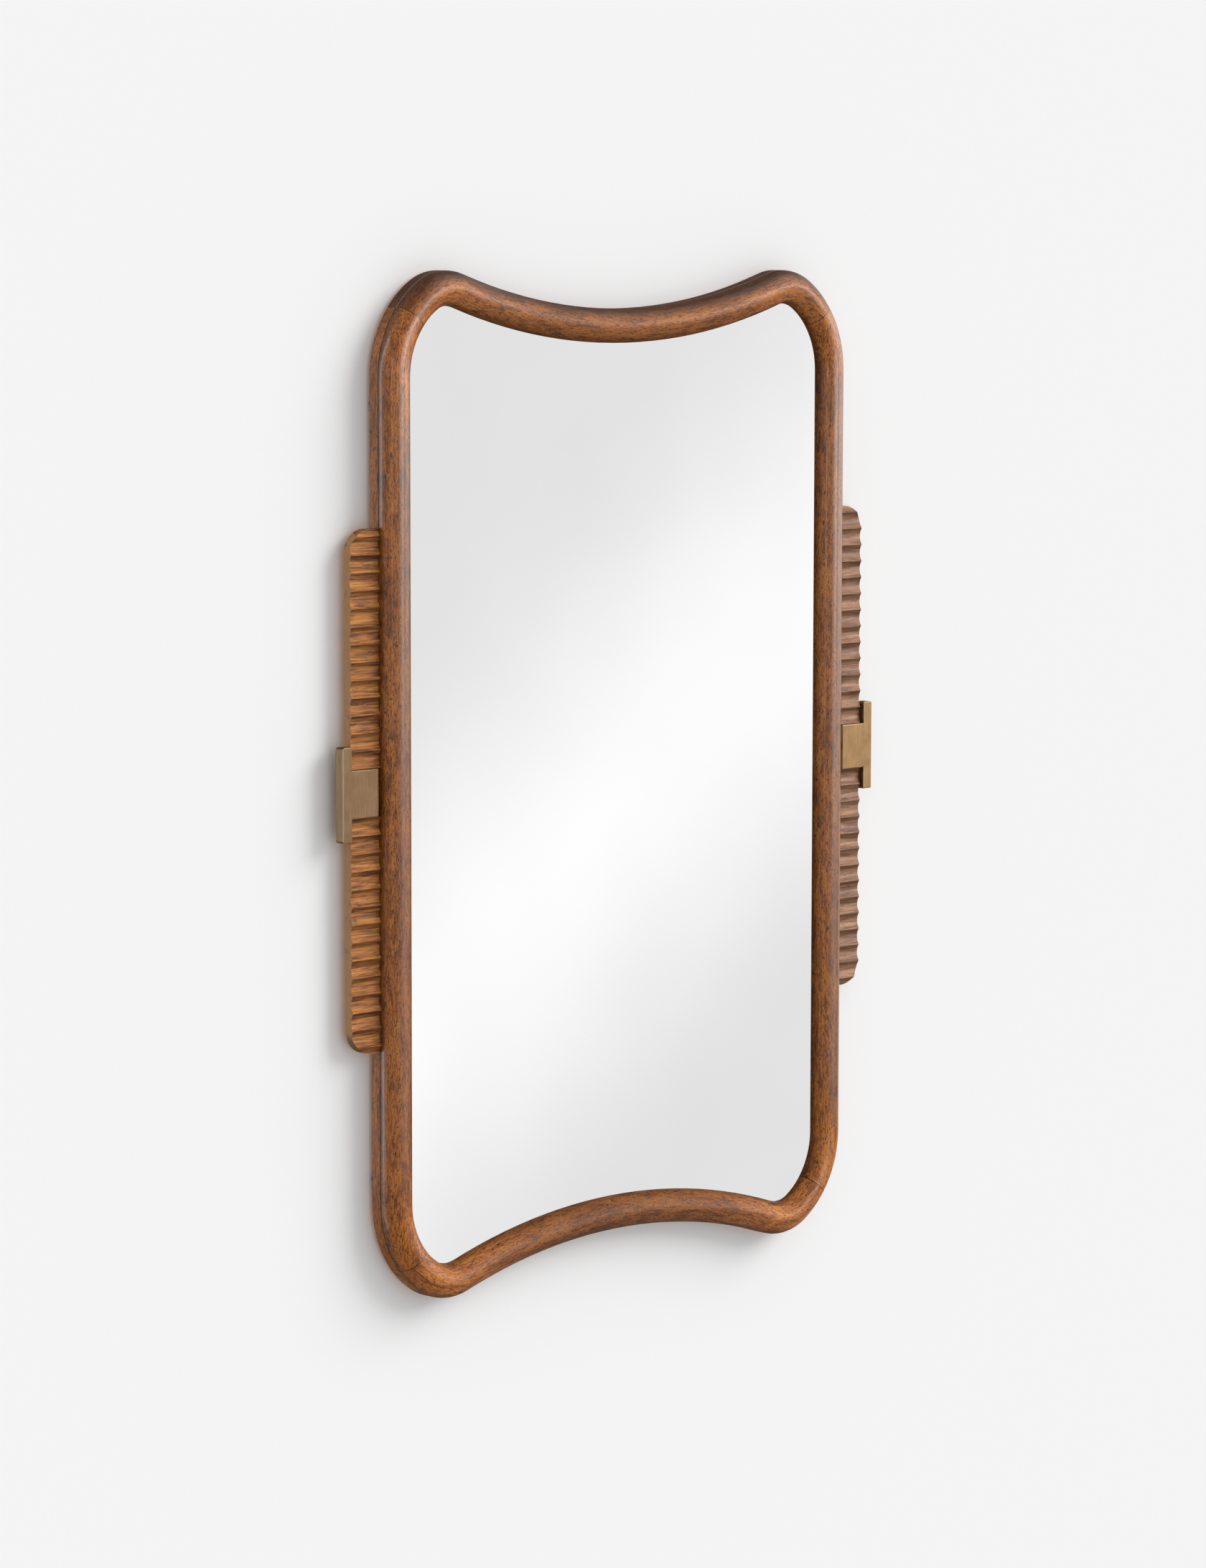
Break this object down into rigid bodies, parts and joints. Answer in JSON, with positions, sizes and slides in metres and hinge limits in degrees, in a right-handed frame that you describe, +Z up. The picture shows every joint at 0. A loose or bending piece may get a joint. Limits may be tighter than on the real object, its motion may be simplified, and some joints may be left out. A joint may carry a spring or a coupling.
{
  "type": "wall mirror",
  "caption": "Framed wall mirror: half-round wooden moulding with ears and hollow top and bottom edges, fluted side wings and T-shaped brass brackets, hung from rings",
  "frame": {"origin": "on the wall plane that the rubber bumpers rest on, behind the middle of the frame", "axes": "+X to the viewer's right along the wall, +Y into the wall, +Z up; the glass faces -Y"},
  "size_m": [0.7414, 0.036, 1.016],
  "materials": {
    "stained_wood": "dark glazed stain under satin lacquer",
    "dowel_wood": "bare",
    "mirror_glass": "silvered back",
    "hardboard": "bare",
    "antique_brass": "brushed, antiqued",
    "zinc_steel": "zinc plated",
    "soft_rubber": "matt, black"
  },
  "bodies": {
    "frame": {"top_rail": "stained_wood", "bottom_rail": "stained_wood", "left_stile": "stained_wood", "right_stile": "stained_wood", "corner_dowels": "dowel_wood", "mirror_glass": "mirror_glass", "backing_board": "hardboard", "board_screws": "zinc_steel", "left_wing": "stained_wood", "right_wing": "stained_wood", "wing_dowels": "dowel_wood", "left_bracket": "antique_brass", "right_bracket": "antique_brass", "bracket_screws": "zinc_steel", "left_hanger": "zinc_steel", "right_hanger": "zinc_steel", "hanger_screws": "zinc_steel", "wall_bumpers": "soft_rubber"},
    "left_ring_body": {"left_ring": "zinc_steel"},
    "right_ring_body": {"right_ring": "zinc_steel"}
  },
  "joints": [
    {"name": "left_ring_hinge", "type": "hinge", "parent": "frame", "child": "left_ring_body", "pos_m": [-0.3088, -0.0029, 0.3], "axis": [1, 0, 0], "range_deg": [0, 176]},
    {"name": "right_ring_hinge", "type": "hinge", "parent": "frame", "child": "right_ring_body", "pos_m": [0.3088, -0.0029, 0.3], "axis": [1, 0, 0], "range_deg": [0, 176]}
  ]
}
